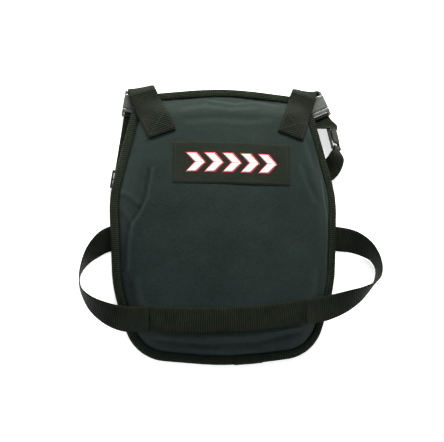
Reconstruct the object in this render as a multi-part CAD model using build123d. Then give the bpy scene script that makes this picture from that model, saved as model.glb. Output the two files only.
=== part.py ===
from build123d import *
from math import cos, radians, sin, sqrt, tan
import os

os.makedirs("parts", exist_ok=True)

# Frame: X across the pad, Y towards its top edge, Z up from the floor. Millimetres.
# The pad lies on its back; the rear run of the waist belt lies on the floor under it.

# ---------------------------------------------------------------- pad shell
# corners of the right half of the outline from top to bottom: x, y, corner radius
CORNERS = [(0, 208, 500), (133, 199, 31), (173, 45, 150), (168, -90, 200), (135, -194, 65), (0, -208, 500)]
BEND_ACROSS = 500.0      # radius of the pad's underside across its width
BEND_ALONG = 1100.0      # radius of the pad's underside along its length
CREST_Y = 60.0           # where the underside is highest
CREST_Z = 46.6
LINING = 1.0
BASE_FOAM = 6.0
STIFFENER = 2.0
IMPACT_FOAM = 14.0
COVER = 1.0
FOAM_INSET = 26.0        # the raised foam stops this far inside the outline
TAPE = 1.2
TAPE_REACH = 11.0

EDGE_TOP = LINING + BASE_FOAM + COVER
FACE = LINING + BASE_FOAM + STIFFENER + IMPACT_FOAM + COVER

# ---------------------------------------------------------------- webbing
WEB = 38.0
WEB_T = 1.6
FLOOR_WEB_Z = WEB_T / 2
BELT_Y = -15.0           # rear run of the belt

# ---------------------------------------------------------------- buckles
BAR_R = 2.0
EYE_GAP = 0.1
BODY_W = 46.0
SLOT_W = 39.6
BODY_T = 10.0
CAVITY_T = 5.6
PRONG_T = 4.8
CAVITY_W = 41.2
CAVITY_DEPTH = 19.0
SOCKET_BAR = -26.0
PLUG_BAR = 10.5
PLUG_FACE = 0.5
ARM_Y = 14.0
KNUCKLE_R = 2.0
BUCKLE_Z = 7.5
LOCK_L = 28.0
LOCK_T = 4.0
LOCK_BAR = 12.0


def unit(v):
    return Vector(*v).normalized()


def outline(inset):
    """Face bounded by the pad outline moved inwards by inset."""
    half = [(x, y, r) for x, y, r in CORNERS]
    mirror = [(-x, y, r) for x, y, r in reversed(half[1:-1])]
    pts = half + mirror
    n = len(pts)
    moved = []
    for i in range(n):
        a = Vector(*pts[i - 1][:2])
        b = Vector(*pts[i][:2])
        c = Vector(*pts[(i + 1) % n][:2])
        d0 = (b - a).normalized()
        d1 = (c - b).normalized()
        inward0 = Vector(d0.Y, -d0.X)
        inward1 = Vector(d1.Y, -d1.X)
        bisector = (inward0 + inward1).normalized()
        corner = b + bisector * (inset / bisector.dot(inward0))
        moved.append((corner, d0, d1, bisector, pts[i][2] - inset))
    edges = []
    ends = []
    for corner, d0, d1, bisector, radius in moved:
        half_turn = d0.get_angle(d1) / 2
        reach = radius * tan(radians(half_turn))
        start = corner - d0 * reach
        end = corner + d1 * reach
        middle = corner + bisector * (radius / cos(radians(half_turn)) - radius)
        ends.append((start, middle, end))
    for i in range(n):
        edges.append(ThreePointArc(*ends[i]))
        edges.append(Line(ends[i][2], ends[(i + 1) % n][0]))
    return make_face(edges)


def prism(face):
    return extrude(face.moved(Location((0, 0, -60))), 200)


def height(x, y, t):
    """Height of the curved layer that lies t above the pad's underside."""
    reach = BEND_ALONG - BEND_ACROSS + sqrt((BEND_ACROSS + t) ** 2 - x * x)
    return CREST_Z - BEND_ALONG + sqrt(reach ** 2 - (y - CREST_Y) ** 2)


def slab(t0, t1):
    """Curved sheet between the layers t0 and t1, larger than the pad."""
    half = 205

    def at(x, t):
        return (x, CREST_Y, CREST_Z - BEND_ACROSS + sqrt((BEND_ACROSS + t) ** 2 - x * x))

    lower = ThreePointArc(at(-half, t0), at(0, t0), at(half, t0))
    upper = ThreePointArc(at(-half, t1), at(0, t1), at(half, t1))
    sides = [Line(at(-half, t0), at(-half, t1)), Line(at(half, t0), at(half, t1))]
    section = make_face([lower, upper] + sides)
    axis = Axis((0, CREST_Y, CREST_Z - BEND_ALONG), (1, 0, 0))
    return revolve(section.rotate(axis, -17), axis, 34)


def layer(t0, t1, face):
    return slab(t0, t1) & prism(face)


def strip(start, end, width):
    """Flat rectangle of the given width between two points in plan."""
    a = Vector(*start)
    b = Vector(*end)
    side = Vector(-(b - a).Y, (b - a).X).normalized() * (width / 2)
    return make_face(Polyline(a + side, b + side, b - side, a - side, close=True))


def sheared_strip(start, end, width):
    """Parallelogram whose ends run along X."""
    a = Vector(*start)
    b = Vector(*end)
    side = Vector(width / 2, 0)
    return make_face(Polyline(a + side, b + side, b - side, a - side, close=True))


def ribbon(stations, thick=WEB_T):
    """Webbing through stations of (centre, width direction, width[, travel direction])."""
    faces = []
    for i, station in enumerate(stations):
        centre = Vector(*station[0])
        across = unit(station[1])
        if len(station) > 3:
            travel = Vector(*station[3])
        else:
            before = Vector(*stations[max(i - 1, 0)][0])
            after = Vector(*stations[min(i + 1, len(stations) - 1)][0])
            travel = after - before
        out = across.cross(travel).normalized()
        frame = Plane(origin=centre, x_dir=across, z_dir=across.cross(out))
        faces.append(frame * Rectangle(station[2], thick))
    faces = [f.face() for f in faces]
    lengths = [loft([faces[i], faces[i + 1]], ruled=True) for i in range(len(faces) - 1)]
    return lengths[0].fuse(*lengths[1:])


def eye(frame, x, width=WEB, z=0.0):
    """Webbing ring round the bar at x in a local frame."""
    inner = BAR_R + EYE_GAP
    ring = Circle(inner + WEB_T) - Circle(inner)
    tube = extrude(Plane.XZ * ring, width / 2, both=True)
    return frame * Pos(x, 0, z) * tube


def local(frame, x, y, z):
    return tuple(frame.from_local_coords(Vector(x, y, z)))


def block(x0, x1, y0, y1, z0, z1):
    return Pos((x0 + x1) / 2, (y0 + y1) / 2, (z0 + z1) / 2) * Box(x1 - x0, y1 - y0, z1 - z0)


def bar(x):
    return Pos(x, 0, 0) * Rot(90, 0, 0) * Cylinder(BAR_R, SLOT_W)


def rails(x0, x1, thick):
    outer = block(x0, x1, -BODY_W / 2, BODY_W / 2, -thick / 2, thick / 2)
    return outer - block(x0 - 1, x1 + 1, -SLOT_W / 2, SLOT_W / 2, -thick, thick)


def socket():
    rear = SOCKET_BAR + BAR_R + EYE_GAP + WEB_T + 0.8
    body = block(rear, 0, -BODY_W / 2, BODY_W / 2, -BODY_T / 2, BODY_T / 2)
    body = fillet(body.edges().filter_by(Axis.Y), 1.6)
    cavity = block(-CAVITY_DEPTH, 1, -CAVITY_W / 2, CAVITY_W / 2, -CAVITY_T / 2, CAVITY_T / 2)
    windows = block(-17, -8, -BODY_W, BODY_W, -CAVITY_T / 2, CAVITY_T / 2)
    frame = rails(SOCKET_BAR - BAR_R, rear + 1.8, 7) + bar(SOCKET_BAR)
    return (body + frame) - cavity - windows


def plug():
    rear = PLUG_BAR - BAR_R - EYE_GAP - WEB_T - 0.8
    body = block(PLUG_FACE, rear, -BODY_W / 2, BODY_W / 2, -BODY_T / 2, BODY_T / 2)
    body = fillet(body.edges().filter_by(Axis.Y), 1.2)
    frame = rails(rear - 1.4, PLUG_BAR + BAR_R, 7) + bar(PLUG_BAR)
    prong = block(-16, PLUG_FACE + 1, -3, 3, -PRONG_T / 2, PRONG_T / 2)
    seats = []
    for side in (-1, 1):
        seat = Pos(PLUG_FACE, side * ARM_Y, 0) * Cylinder(KNUCKLE_R + 0.05, PRONG_T + 0.1)
        seats.append(seat)
    return body + frame + prong - seats[0] - seats[1]


def arm(side):
    """Springy side arm of the plug, on the +Y side for side = 1."""
    stem = Polyline(
        (PLUG_FACE, side * (ARM_Y - 1.7)), (-16, side * (ARM_Y - 1.2)), (-17.5, side * (ARM_Y + 1.0)),
        (-17.5, side * (ARM_Y + 2.4)), (-14.5, side * (ARM_Y + 6.2)), (-9, side * (ARM_Y + 6.2)),
        (-7, side * (ARM_Y + 2.2)), (-1.6, side * (ARM_Y + 1.4)), (PLUG_FACE, side * (ARM_Y + 1.2)), close=True)
    knuckle = Pos(PLUG_FACE, side * ARM_Y, 0) * Cylinder(KNUCKLE_R, PRONG_T)
    return extrude(make_face(stem), PRONG_T / 2, both=True) + knuckle


def ladder_lock():
    half = LOCK_L / 2
    grip = block(half - 4, half, -BODY_W / 2, BODY_W / 2, -LOCK_T / 2, LOCK_T / 2)
    return rails(-half, half, LOCK_T) + bar(-LOCK_BAR) + bar(0) + grip


def strap_turn(frame):
    """The strap's turn round the middle bar of a ladder lock, both legs leaving along +x."""
    leg = BAR_R + EYE_GAP + WEB_T / 2
    end = LOCK_L / 2 + 1
    ring = Circle(leg + WEB_T / 2) - Circle(leg - WEB_T / 2) - Pos(10, 0) * Rectangle(20, 20)
    turn = extrude(Plane.XZ * ring, WEB / 2, both=True)
    legs = []
    for side in (-1, 1):
        z = side * leg
        legs.append(block(0, end, -WEB / 2, WEB / 2, z - WEB_T / 2, z + WEB_T / 2))
    return frame * (turn + legs[0] + legs[1])


# ================================================================ pad
full = outline(0)
raised = outline(FOAM_INSET)
raised_cover = outline(FOAM_INSET - COVER)

t_base = LINING
t_stiff = LINING + BASE_FOAM
t_impact = t_stiff + STIFFENER
t_skin = FACE - COVER

parts = {}
parts["back_lining"] = layer(0, t_base, full)
parts["base_foam"] = layer(t_base, t_stiff, full)
parts["stiffener_sheet"] = layer(t_stiff, t_impact, raised)
parts["impact_foam"] = layer(t_impact, t_skin, raised)
cover = layer(t_stiff, EDGE_TOP, full) + layer(t_stiff, FACE, raised_cover)
parts["front_cover"] = cover - layer(t_stiff - 1, t_skin, raised)
tape = layer(-TAPE, EDGE_TOP + TAPE, outline(-TAPE) - outline(TAPE_REACH))
parts["edge_binding"] = tape - layer(0, EDGE_TOP, full)

# badge
PATCH = (180.0, 65.0)
PATCH_AT = Pos(6, 89) * Rot(0, 0, -1)
PATCH_T = 1.0
EMBLEM_T = 0.5
parts["badge_patch"] = layer(FACE, FACE + PATCH_T, PATCH_AT * RectangleRounded(*PATCH, 4))
CHEVRON_RISE = 13.0
CHEVRON_THICK = 11.0
emblem = Sketch()
for k in range(5):
    x = (k - 2) * 26.0
    points = [(x - 13, -CHEVRON_RISE), (x - 13 + CHEVRON_THICK, -CHEVRON_RISE), (x + CHEVRON_THICK, 0)]
    points += [(x - 13 + CHEVRON_THICK, CHEVRON_RISE), (x - 13, CHEVRON_RISE), (x, 0)]
    emblem += PATCH_AT * make_face(Polyline(*points, close=True))
frame_line = RectangleRounded(152, 40, 5) - RectangleRounded(148, 36, 3)
emblem += PATCH_AT * frame_line
emblem += PATCH_AT * Rectangle(150, 1.6)
parts["badge_emblem"] = layer(FACE + PATCH_T, FACE + PATCH_T + EMBLEM_T, emblem)

# ================================================================ waist belt
BAND_LEFT = (-118.0, -138.0)
BAND_MID = (0.0, -142.0)
BAND_RIGHT = (118.0, -130.0)
band_arc = ThreePointArc(BAND_LEFT, BAND_MID, BAND_RIGHT)
band_face = trace(band_arc, WEB)
parts["belt_front"] = layer(FACE, FACE + WEB_T, band_face)


def band_end(point, towards):
    """Station where a side belt meets the front band."""
    x, y = point
    slope_y = height(x, y + 0.5, FACE) - height(x, y - 0.5, FACE)
    slope_x = height(x + 0.5, y, FACE) - height(x - 0.5, y, FACE)
    turn = band_arc.tangent_at(0 if x < 0 else 1)
    heading = Vector(turn.X, turn.Y) * (-1 if x < 0 else 1)
    across = Vector(-heading.Y, heading.X)
    if across.Y > 0:
        across = across * -1
    across3 = (across.X, across.Y, slope_y * across.Y + slope_x * across.X)
    travel = (heading.X, heading.Y, slope_x * heading.X + slope_y * heading.Y)
    return ((x, y, height(x, y, FACE + WEB_T / 2) + 0.25 * towards), across3, WEB, travel)


left_loop = [
    band_end(BAND_LEFT, 1),
    ((-136, -138.5, 37.6), (0, -1, -0.22), WEB),
    ((-156, -136.5, 31.5), (-0.05, -0.95, -0.33), WEB),
    ((-178, -129, 26), (-0.10, -0.80, -0.60), WEB),
    ((-198, -115, 22), (-0.10, -0.50, -0.87), WEB),
    ((-210, -97, 20.2), (0, -0.20, -0.98), WEB),
    ((-213, -78, 19.8), (0, 0, -1), WEB),
    ((-210, -60, 19.4), (0.10, -0.15, -0.98), WEB),
    ((-202, -42, 16.8), (0.20, -0.50, -0.84), WEB),
    ((-190, -27, 12), (0.15, -0.80, -0.56), WEB),
    ((-176, -18, 6.4), (0.05, -0.95, -0.28), WEB),
    ((-160, BELT_Y, 2.2), (0, -1, -0.06), WEB),
    ((-144, BELT_Y, FLOOR_WEB_Z), (0, -1, 0), WEB, (1, 0, 0)),
]
right_loop = [
    band_end(BAND_RIGHT, 1),
    ((137, -127.5, 38.6), (0.05, -1, -0.20), WEB),
    ((160, -122.5, 31), (0.10, -0.95, -0.33), WEB),
    ((186, -114, 26), (0.15, -0.80, -0.60), WEB),
    ((212, -102, 22), (0.15, -0.50, -0.87), WEB),
    ((232, -86, 20.2), (0, -0.20, -0.98), WEB),
    ((239, -67, 19.8), (0, 0, -1), WEB),
    ((234, -48, 19.4), (-0.10, -0.15, -0.98), WEB),
    ((221, -33, 16.8), (-0.20, -0.50, -0.84), WEB),
    ((203, -22, 12), (-0.15, -0.80, -0.56), WEB),
    ((183, -17, 6.4), (-0.05, -0.95, -0.28), WEB),
    ((163, BELT_Y, 2.2), (0, -1, -0.06), WEB),
    ((146, BELT_Y, FLOOR_WEB_Z), (0, -1, 0), WEB, (-1, 0, 0)),
]

WAIST_MOUTH = 60.0
waist = Plane(origin=(WAIST_MOUTH, BELT_Y, BUCKLE_Z), x_dir=(1, 0, 0), z_dir=(0, 0, 1))
EYE_R = BAR_R + EYE_GAP + WEB_T


def floor_run(x0, x1):
    return block(min(x0, x1), max(x0, x1), BELT_Y - WEB / 2, BELT_Y + WEB / 2, 0, WEB_T)


def ramp(flat_x, bar_x):
    """Webbing rising from the floor to the ring on a buckle bar."""
    side = 1 if flat_x > bar_x else -1
    along = (-side, 0, 0)
    return ribbon([
        ((flat_x, BELT_Y, FLOOR_WEB_Z), (0, -1, 0), WEB, along),
        ((flat_x - side * 7, BELT_Y, 2.4), (0, -1, 0), WEB),
        ((bar_x + side * (EYE_R - 0.5), BELT_Y, BUCKLE_Z - 1.2), (0, -1, 0), WEB),
    ])


socket_bar_x = WAIST_MOUTH + SOCKET_BAR
plug_bar_x = WAIST_MOUTH + PLUG_BAR
belt_left = ribbon(left_loop) + floor_run(-144, socket_bar_x - 18) + ramp(socket_bar_x - 18, socket_bar_x)
parts["belt_left"] = belt_left + eye(waist, SOCKET_BAR)
belt_right = ribbon(right_loop) + floor_run(146, plug_bar_x + 18) + ramp(plug_bar_x + 18, plug_bar_x)
parts["belt_right"] = belt_right + eye(waist, PLUG_BAR)
parts["waist_socket"] = waist * socket()
parts["waist_plug"] = waist * plug()
parts["waist_arm_upper"] = waist * arm(1)
parts["waist_arm_lower"] = waist * arm(-1)

# ================================================================ shoulder hardware
TAB_LOW = (97.0, 134.0)
TAB_SEAM = (113.0, 176.5)
TAB_T = 2 * WEB_T
TAB_WIDE = 40.0


def tab(side, bar_at, across):
    """Doubled webbing tab: sewn on the face, over the rim, down to the buckle bar."""
    low = (side * TAB_LOW[0], TAB_LOW[1])
    seam = (side * TAB_SEAM[0], TAB_SEAM[1])
    sewn = layer(FACE, FACE + TAB_T, sheared_strip(low, seam, TAB_WIDE))

    def over(x, y, t):
        slope = height(x + 0.5, y, t) - height(x - 0.5, y, t)
        return ((x, y, height(x, y, t)), (1, 0, slope), TAB_WIDE)

    first = over(seam[0], seam[1], FACE + TAB_T / 2)
    rise = height(seam[0], seam[1] + 0.5, FACE) - height(seam[0], seam[1] - 0.5, FACE)
    lift = (first[0][0], first[0][1], first[0][2] + 0.35)
    stations = [
        (lift, first[1], TAB_WIDE, (side * 0.39, 1, rise)),
        over(side * 120, 192, 18),
        over(side * 126, 203, 13.5),
        ((side * 130, 209.5, 24), (1, -side * 0.08, -side * 0.14), 39),
        ((bar_at[0], bar_at[1] + 3.4, 16.5), (across[0], across[1], 0), WEB),
        ((bar_at[0], bar_at[1] + 0.6, BUCKLE_Z + EYE_R - 0.4), (across[0], across[1], 0), WEB, (0, 0, -1)),
    ]
    return sewn + ribbon(stations, TAB_T)


def sewn_end(start, end):
    """Webbing sewn flat on the lining."""
    return layer(-2.0, 0, strip(start, end, WEB))


def chain(side, bar_at, yaw):
    """Local frame of a shoulder buckle: mouth at the origin, +x out of the mouth."""
    heading = (side * sin(radians(yaw)), -cos(radians(yaw)), 0)
    mouth = Vector(bar_at[0], bar_at[1], BUCKLE_Z) + Vector(*heading) * (-SOCKET_BAR)
    return Plane(origin=mouth, x_dir=heading, z_dir=(0, 0, 1))


LEFT_BAR = (-127.0, 207.0)
RIGHT_BAR = (137.0, 207.0)
left = chain(-1, LEFT_BAR, 9)
right = chain(1, RIGHT_BAR, 24)

left_lock_at = left.origin + left.x_dir * (137.0 + SOCKET_BAR)
left_lock = Plane(origin=(left_lock_at.X, left_lock_at.Y, 4.2), x_dir=left.x_dir * -1, z_dir=(0, 0, 1))
LOCK_ROLL = 60.0
LOCK_YAW = 12.0
right_heading = Vector(sin(radians(LOCK_YAW)), -cos(radians(LOCK_YAW)), 0)
right_up = Vector(cos(radians(LOCK_YAW)) * sin(radians(LOCK_ROLL)), sin(radians(LOCK_YAW)) * sin(radians(LOCK_ROLL)),
                  cos(radians(LOCK_ROLL)))
right_lock = Plane(origin=(174, 136, 22.5), x_dir=right_heading * -1, z_dir=right_up)

for name, frame in (("left", left), ("right", right)):
    parts[name + "_socket"] = frame * socket()
    parts[name + "_plug"] = frame * plug()
    parts[name + "_arm_upper"] = frame * arm(1)
    parts[name + "_arm_lower"] = frame * arm(-1)
parts["left_lock"] = left_lock * ladder_lock()
parts["right_lock"] = right_lock * ladder_lock()

left_across = (left.y_dir.X, left.y_dir.Y)
right_across = (right.y_dir.X, right.y_dir.Y)
parts["left_tab"] = tab(-1, LEFT_BAR, left_across) + eye(left, SOCKET_BAR)
parts["right_tab"] = tab(1, RIGHT_BAR, right_across) + eye(right, SOCKET_BAR)

# left strap: flat on the floor from the plug to the lock, tail back under the buckle
leg = BAR_R + EYE_GAP + WEB_T / 2
lock_end = LOCK_L / 2 + 1
flat_y = tuple(left.y_dir)
back_along = tuple(left.x_dir * -1)
span = ribbon([
    (local(left, PLUG_BAR + EYE_R - 0.5, 0, 0), flat_y, WEB, tuple(left.x_dir)),
    (local(left, PLUG_BAR + 45, 0, 0.2), flat_y, WEB),
    (local(left_lock, lock_end, 0, leg), flat_y, WEB, tuple(left.x_dir)),
])
tail = ribbon([
    (local(left_lock, lock_end, 0, -leg), flat_y, WEB, back_along),
    (local(left_lock, lock_end + 12, 0, 0.8 - 4.2), flat_y, WEB),
    (local(left_lock, lock_end + 105, 0, 0.8 - 4.2), flat_y, WEB),
])
parts["left_strap"] = eye(left, PLUG_BAR) + span + strap_turn(left_lock) + tail

# right strap: turns on edge into the lock, let out until its free end is almost at the lock
lock_across = right_lock.y_dir * -1
span = ribbon([
    (local(right, PLUG_BAR + EYE_R - 0.5, 0, 0), tuple(right.y_dir), WEB, tuple(right.x_dir)),
    ((167, 160.0, 12.0), (0.93, 0.26, -0.26), WEB),
    (local(right_lock, lock_end, 0, leg), tuple(lock_across), WEB, tuple(right_heading)),
])
free_end = block(lock_end, lock_end + 4, -WEB / 2, WEB / 2, -leg - WEB_T / 2, -leg + WEB_T / 2)
parts["right_strap"] = strap_turn(right_lock) + span + right_lock * free_end + eye(right, PLUG_BAR)


def lock_loop(lock, across, turn_at, sewn_at, sewn_to):
    """Webbing loop that holds a ladder lock, sewn to the lining under the rim."""
    sx, sy = sewn_at
    z = height(sx, sy, 0) - 1.2
    slope = height(sx + 0.5, sy, 0) - height(sx - 0.5, sy, 0)
    rise = height(sx, sy + 0.5, 0) - height(sx, sy - 0.5, 0)
    heading = unit((sewn_to[0] - sx, sewn_to[1] - sy, 0))
    flat = Vector(-heading.Y, heading.X)
    if flat.dot(across) < 0:
        flat = flat * -1
    end_across = (flat.X, flat.Y, slope * flat.X + rise * flat.Y)
    end_travel = (heading.X, heading.Y, slope * heading.X + rise * heading.Y)
    stations = [(local(lock, -LOCK_BAR - EYE_R + 0.5, 0, 0), tuple(across), WEB, tuple(lock.x_dir * -1))]
    stations += turn_at
    stations.append(((sx, sy, z), end_across, WEB, end_travel))
    return eye(lock, -LOCK_BAR) + ribbon(stations) + sewn_end(sewn_at, sewn_to)


left_turn = [((-148, 43, 8.5), (0.98, -0.10, 0.12), WEB)]
parts["left_lock_loop"] = lock_loop(left_lock, left.y_dir, left_turn, (-139, 28), (-135, 6))
right_turn = [
    ((180, 108, 13.0), (0.93, -0.10, -0.42), WEB),
    ((171, 95, 7), (0.90, -0.40, -0.12), WEB),
    ((157, 86, 9), (0.82, -0.56, -0.17), WEB),
]
parts["right_lock_loop"] = lock_loop(right_lock, lock_across, right_turn, (139, 78), (126, 62))

for name, shape in parts.items():
    shape.label = name
    export_step(shape, "parts/" + name + ".step")
    box = shape.bounding_box()
    low = tuple(round(v, 1) for v in box.min)
    high = tuple(round(v, 1) for v in box.max)
    print(name, len(shape.solids()), low, high, round(shape.volume / 1000, 2))
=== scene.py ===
from math import cos, pi, radians, sin, sqrt, tan

import bpy
import numpy as np
from mathutils import Matrix, Vector, noise


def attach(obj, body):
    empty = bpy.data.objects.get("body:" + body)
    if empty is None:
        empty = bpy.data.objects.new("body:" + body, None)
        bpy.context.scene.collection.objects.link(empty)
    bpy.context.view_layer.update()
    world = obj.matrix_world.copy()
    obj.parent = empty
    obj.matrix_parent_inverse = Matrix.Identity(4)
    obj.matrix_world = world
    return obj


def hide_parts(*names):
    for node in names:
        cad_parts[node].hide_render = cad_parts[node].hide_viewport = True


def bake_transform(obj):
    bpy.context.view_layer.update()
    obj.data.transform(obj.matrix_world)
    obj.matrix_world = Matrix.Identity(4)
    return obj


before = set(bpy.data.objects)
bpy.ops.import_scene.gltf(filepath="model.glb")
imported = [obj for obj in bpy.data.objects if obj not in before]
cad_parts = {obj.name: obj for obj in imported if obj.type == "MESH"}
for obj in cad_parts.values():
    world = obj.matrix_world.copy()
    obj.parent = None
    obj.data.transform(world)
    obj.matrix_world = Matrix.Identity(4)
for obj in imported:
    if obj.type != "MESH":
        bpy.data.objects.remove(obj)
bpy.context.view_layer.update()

MM = 0.001

# ------------------------------------------------------------------ pad geometry, millimetres
CORNERS = [(0, 208, 500), (133, 199, 31), (173, 45, 150), (168, -90, 200), (135, -194, 65), (0, -208, 500)]
BEND_ACROSS = 500.0
BEND_ALONG = 1100.0
CREST_Y = 60.0
CREST_Z = 46.6
RIM_T = 8.0              # thickness of the flat rim
FACE_T = 24.2            # thickness of the padded middle
SHOULDER_START = 10.0
SHOULDER_WIDTH = 34.0
TAPE_REACH = 11.0
WEB = 38.0
WEB_T = 1.6


def outline_points(count):
    """Even samples of the pad outline, clockwise seen from above, starting at the top middle."""
    right = list(CORNERS)
    pts = right + [(-x, y, r) for x, y, r in reversed(right[1:-1])]
    n = len(pts)
    path = []
    for i in range(n):
        a, b, c = (np.array(pts[j % n][:2], float) for j in (i - 1, i, i + 1))
        d0 = (b - a) / np.linalg.norm(b - a)
        d1 = (c - b) / np.linalg.norm(c - b)
        half = np.arccos(np.clip(d0 @ d1, -1, 1)) / 2
        radius = pts[i][2]
        start = b - d0 * radius * tan(half)
        normal = np.array([d0[1], -d0[0]])
        centre = start + normal * radius
        for k in range(25):
            turn = -2 * half * k / 24
            arm = -normal * radius
            path.append(centre + np.array([arm[0] * cos(turn) - arm[1] * sin(turn),
                                           arm[0] * sin(turn) + arm[1] * cos(turn)]))
    path = np.array(path + [path[0]])
    steps = np.r_[0, np.cumsum(np.linalg.norm(np.diff(path, axis=0), axis=1))]
    s = np.linspace(0, steps[-1], count, endpoint=False)
    xy = np.stack([np.interp(s, steps, path[:, k]) for k in (0, 1)], 1)
    return np.roll(xy, -int(np.argmin(np.abs(xy[:, 0]) + (xy[:, 1] < 0) * 999)), axis=0)


RIM = outline_points(720)
RIM_IN = np.roll(RIM, -1, 0) - np.roll(RIM, 1, 0)
RIM_IN /= np.linalg.norm(RIM_IN, axis=1, keepdims=True)
RIM_IN = np.stack([RIM_IN[:, 1], -RIM_IN[:, 0]], 1)
RIM_LENGTH = np.linalg.norm(np.roll(RIM, -1, 0) - RIM, axis=1).sum()


def height(x, y, t):
    """Height of the curved layer that lies t above the pad's underside."""
    reach = BEND_ALONG - BEND_ACROSS + np.sqrt((BEND_ACROSS + t) ** 2 - np.minimum(np.abs(x), 300) ** 2)
    return CREST_Z - BEND_ALONG + np.sqrt(reach ** 2 - (y - CREST_Y) ** 2)


def inset(x, y):
    """Distance inside the outline, negative outside."""
    p = np.stack([np.ravel(x), np.ravel(y)], 1)
    out = np.empty(len(p))
    for i in range(0, len(p), 4000):
        delta = p[i:i + 4000, None, :] - RIM[None]
        dist = np.linalg.norm(delta, axis=2)
        near = dist.argmin(1)
        side = (delta[np.arange(len(near)), near] * RIM_IN[near]).sum(1)
        out[i:i + 4000] = np.where(side > 0, 1, -1) * dist[np.arange(len(near)), near]
    return out.reshape(np.shape(x))


def smooth(q):
    q = np.clip(q, 0, 1)
    return q * q * (3 - 2 * q)


def field(x, y, size, seed):
    """Smooth noise between about -1 and 1 over arrays of x and y."""
    flat = [noise.noise(Vector((a / size, b / size, seed * 7.31))) for a, b in zip(np.ravel(x), np.ravel(y))]
    return np.array(flat).reshape(np.shape(x))


def crease(x, y, line, wide):
    """Fall-off from a polyline in plan, 1 on the line."""
    best = np.full(np.shape(x), 1e9)
    for (ax, ay), (bx, by) in zip(line[:-1], line[1:]):
        ux, uy = bx - ax, by - ay
        k = np.clip(((x - ax) * ux + (y - ay) * uy) / (ux * ux + uy * uy), 0, 1)
        best = np.minimum(best, np.hypot(x - ax - k * ux, y - ay - k * uy))
    return np.exp(-(best / wide) ** 2)


# soft folds of the cover: line, width, height of the ridge, and where its valley lies in widths
FOLDS = [
    ([(-112, 80), (-115, 60), (-119, 38), (-129, 16), (-140, 0), (-145, -26), (-147, -66)], 2.6, 1.4, (-1.9, -0.6)),
    ([(-155, 50), (-144, 42), (-133, 30)], 3.6, 1.2, (0.3, -1.9)),
    ([(-153, 22), (-146, 12), (-141, -2)], 3.0, 0.9, (-0.4, -1.9)),
    ([(146, 66), (148, 42), (153, 17), (154, -16), (151, -62)], 2.6, 1.4, (1.9, -0.4)),
    ([(112, 84), (119, 58), (131, 34)], 4.4, 0.8, (1.6, 0.8)),
    ([(-134, -84), (-128, -112), (-116, -134)], 4.5, 0.9, (-1.6, -0.6)),
    ([(132, -70), (130, -98), (122, -118)], 5.0, 0.8, (1.6, -0.6)),
    ([(-24, 186), (12, 180), (44, 186), (78, 181)], 3.0, 1.2, (0.1, 1.8)),
    ([(-70, 170), (-34, 176), (4, 170), (40, 174)], 4.2, 0.7, (0.0, 1.7)),
    ([(-60, 148), (-20, 152), (30, 149), (66, 154)], 5.0, 0.5, (0.0, 1.6)),
    ([(118, 126), (126, 106), (130, 88)], 4.0, 0.8, (1.7, 0.2)),
    ([(-104, -165), (-40, -172), (40, -170), (108, -156)], 3.2, 1.1, (0.0, -1.7)),
    ([(-52, -185), (0, -189), (50, -187)], 4.0, 0.6, (0.0, 1.7)),
]
CREVICE = 12.4           # the cover dips beside the tape


def fold_relief(x, y):
    """Ridges and valleys of the cover's folds, in millimetres, and how much painted highlight (ridges) and painted
    shade (valleys) each point gets.
    """
    relief = np.zeros(np.shape(x))
    highlight_and_shade = np.zeros(np.shape(x))
    for line, wide, deep, (ox, oy) in FOLDS:
        ridge = crease(x, y, line, wide)
        valley = crease(x - ox * wide, y - oy * wide, line, wide * 1.15)
        relief = relief + deep * (ridge - 0.9 * valley)
        # painted highlight along the ridge, painted shade in its valley
        highlight_and_shade = highlight_and_shade + min(deep, 1.3) * (ridge - 0.55 * valley)
    return relief, highlight_and_shade


def cover_t(x, y, fine=True):
    """Thickness of the padded pad at a point of its plan."""
    d = inset(x, y)
    q = np.clip((d - SHOULDER_START) / SHOULDER_WIDTH, 0, 1)
    t = RIM_T + (FACE_T - RIM_T) * np.sin(q * pi / 2) ** 0.9
    t = np.where(q <= 0, RIM_T - 0.9 * smooth((SHOULDER_START - d) / 6), t)
    if not fine:
        return t
    inner = smooth((d - 9) / 8)
    t = t + fold_relief(x, y)[0] * inner
    edge = np.exp(-((d - 15) / 8) ** 2)
    along = np.arctan2(y, x)
    t = t + 0.8 * edge * field(along * 26, d * 0.05, 1.0, 3)
    t = t + 0.9 * inner * field(x, y, 58, 1) + 0.4 * inner * field(x, y, 20, 2)
    return t - 2.0 * np.exp(-((d - CREVICE) / 1.4) ** 2)


def cover_z(x, y, lift=0.0, fine=False):
    return height(x, y, cover_t(x, y, fine) + lift)


# ------------------------------------------------------------------ mesh helpers
def mesh_object(name, verts, faces, uv=None, smooth_shade=True):
    mesh = bpy.data.meshes.new(name)
    mesh.from_pydata([tuple(float(c) * MM for c in v) for v in verts], [], faces)
    if uv is not None:
        layer = mesh.uv_layers.new(name="Metres")
        loops = np.array([uv[loop.vertex_index] for loop in mesh.loops], float) * MM
        layer.data.foreach_set("uv", loops.ravel())
    mesh.validate()
    mesh.polygons.foreach_set("use_smooth", [smooth_shade] * len(mesh.polygons))
    mesh.update()
    obj = bpy.data.objects.new(name, mesh)
    bpy.context.collection.objects.link(obj)
    return obj


def grid_normals(rows):
    du = np.gradient(rows, axis=0)
    dv = np.gradient(rows, axis=1)
    n = np.cross(dv, du)
    length = np.linalg.norm(n, axis=2, keepdims=True)
    return n / np.maximum(length, 1e-9)


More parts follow.
